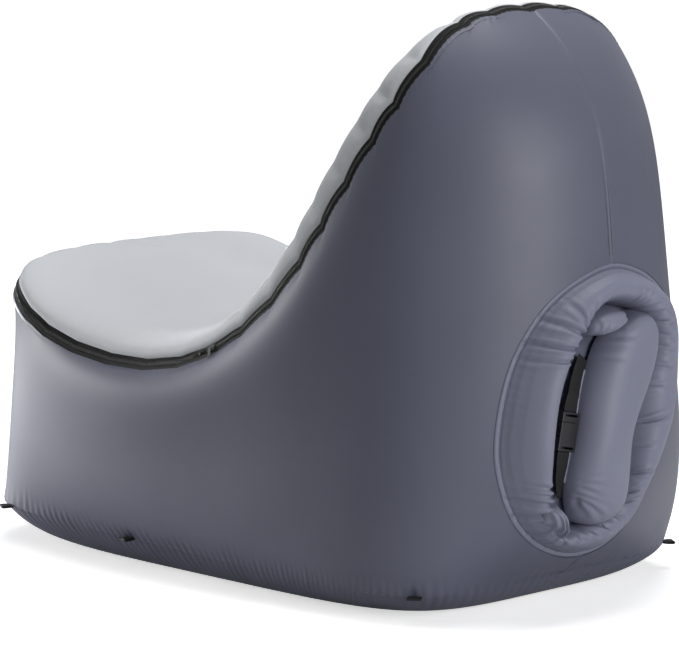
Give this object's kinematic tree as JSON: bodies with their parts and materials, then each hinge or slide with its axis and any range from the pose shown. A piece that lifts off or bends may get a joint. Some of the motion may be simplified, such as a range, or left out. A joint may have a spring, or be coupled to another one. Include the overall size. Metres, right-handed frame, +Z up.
{
  "type": "inflatable armchair",
  "caption": "Low inflatable lounge armchair: zipped nylon covers over an air bag, filled through a rolled neck closed by a side-release buckle.",
  "frame": {"origin": "on the floor under the chair, at the middle of its length and width", "axes": "+Z up; the chair faces -Y and its back is at +Y; the sitter's left is +X, the side seen in the picture"},
  "size_m": [0.704, 1.1515, 0.8837],
  "materials": {
    "nylon": "satin ripstop-free nylon, slate blue-grey, inflated taut",
    "seat_cloth": "matt brushed polyester, light grey",
    "air_bag_film": "thin translucent film, not seen from outside",
    "tape": "matt woven zip tape, black",
    "coil": "glossy black nylon coil",
    "metal": "black painted metal, satin",
    "webbing": "woven black webbing, matt",
    "plastic": "moulded black acetal, satin"
  },
  "bodies": {
    "shell": {"left_side_panel": "nylon", "right_side_panel": "nylon", "base_panel": "nylon", "seat_back_panel": "seat_cloth", "inner_liner": "air_bag_film", "neck_collar": "nylon", "neck_roll": "nylon", "mouth_binding": "nylon", "zip_tape_inner": "tape", "zip_tape_outer": "tape", "zip_chain": "coil", "zip_stop": "metal", "strap_upper": "webbing", "strap_lower": "webbing", "buckle_female": "plastic", "peg_loop_rear_left": "webbing", "peg_loop_rear_right": "webbing", "peg_loop_side_left": "webbing", "peg_loop_side_right": "webbing", "peg_loop_front_left": "webbing", "peg_loop_front_right": "webbing"},
    "slider": {"zip_slider": "metal"},
    "pull": {"zip_pull": "metal"},
    "male": {"buckle_male": "plastic"},
    "prong_left": {"prong_left": "plastic"},
    "prong_right": {"prong_right": "plastic"}
  },
  "joints": [
    {"name": "zip_slide", "type": "slide", "parent": "shell", "child": "slider", "axis": [0.0833, -0.9158, -0.3929], "range_m": [0, 0.018]},
    {"name": "zip_pull_swing", "type": "hinge", "parent": "slider", "child": "pull", "pos_m": [0.31832, 0.0198, 0.368], "axis": [0.0833, -0.9158, -0.3929], "range_deg": [0, 150]},
    {"name": "buckle_release", "type": "slide", "parent": "shell", "child": "male", "axis": [-0.2079, 0, 0.9781], "range_m": [0, 0.024], "deforming": ["strap_upper"]},
    {"name": "prong_left_flex", "type": "hinge", "parent": "male", "child": "prong_left", "pos_m": [0.10976, 0.54023, 0.29194], "axis": [0, 1, 0], "range_deg": [0, 17.5]},
    {"name": "prong_right_flex", "type": "hinge", "parent": "male", "child": "prong_right", "pos_m": [0.08824, 0.54023, 0.28736], "axis": [0, -1, 0], "range_deg": [0, 17.5]}
  ],
  "couplings": [
    {"joint": "prong_left_flex", "follows": "buckle_release", "rad_per_m": 12.5},
    {"joint": "prong_right_flex", "follows": "buckle_release", "rad_per_m": 12.5}
  ]
}
